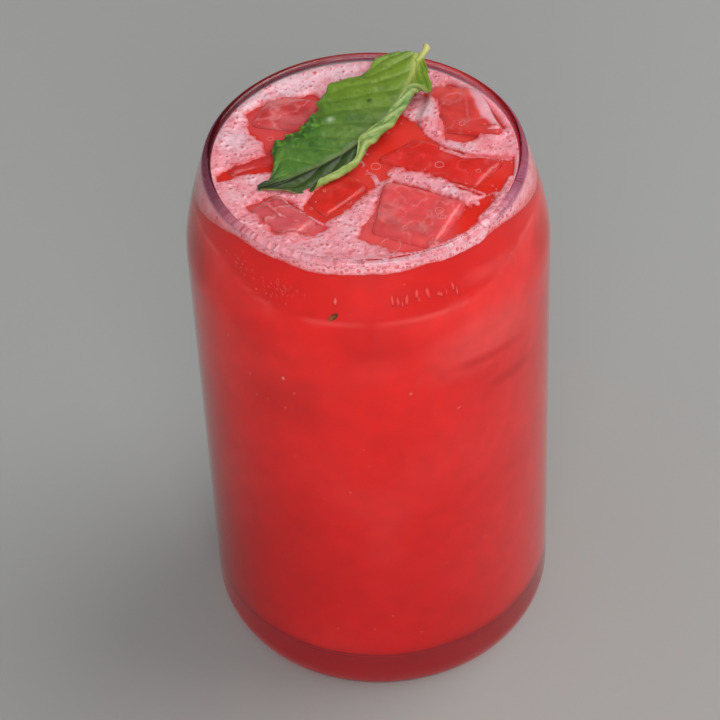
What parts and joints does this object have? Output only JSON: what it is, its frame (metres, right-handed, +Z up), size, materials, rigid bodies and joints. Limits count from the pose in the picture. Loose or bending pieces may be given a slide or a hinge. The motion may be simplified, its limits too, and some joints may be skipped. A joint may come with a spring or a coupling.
{
  "type": "glass of iced watermelon cooler",
  "caption": "Can-shaped clear tumbler filled to the brim with red watermelon cooler, pink foam, floating ice cubes and a mint leaf on top.",
  "frame": {"origin": "centre of the ring that the glass stands on, in the table's plane", "axes": "+Z up along the glass's axis; +Y to the back of the rim, where the leaf's stem lies; +X to the right"},
  "size_m": [0.077, 0.077, 0.1302],
  "materials": {
    "glass": "clear polished",
    "drink": "cloudy red liquid",
    "foam": "pink froth",
    "ice": "wet clear ice",
    "leaf": "satin leaf"
  },
  "bodies": {
    "root": {"glass": "glass", "drink": "drink", "foam": "foam", "ice_cube_1": "ice", "ice_cube_2": "ice", "ice_cube_3": "ice", "ice_cube_4": "ice", "ice_cube_5": "ice", "ice_cube_6": "ice", "ice_cube_7": "ice", "mint_leaf": "leaf"}
  },
  "joints": []
}
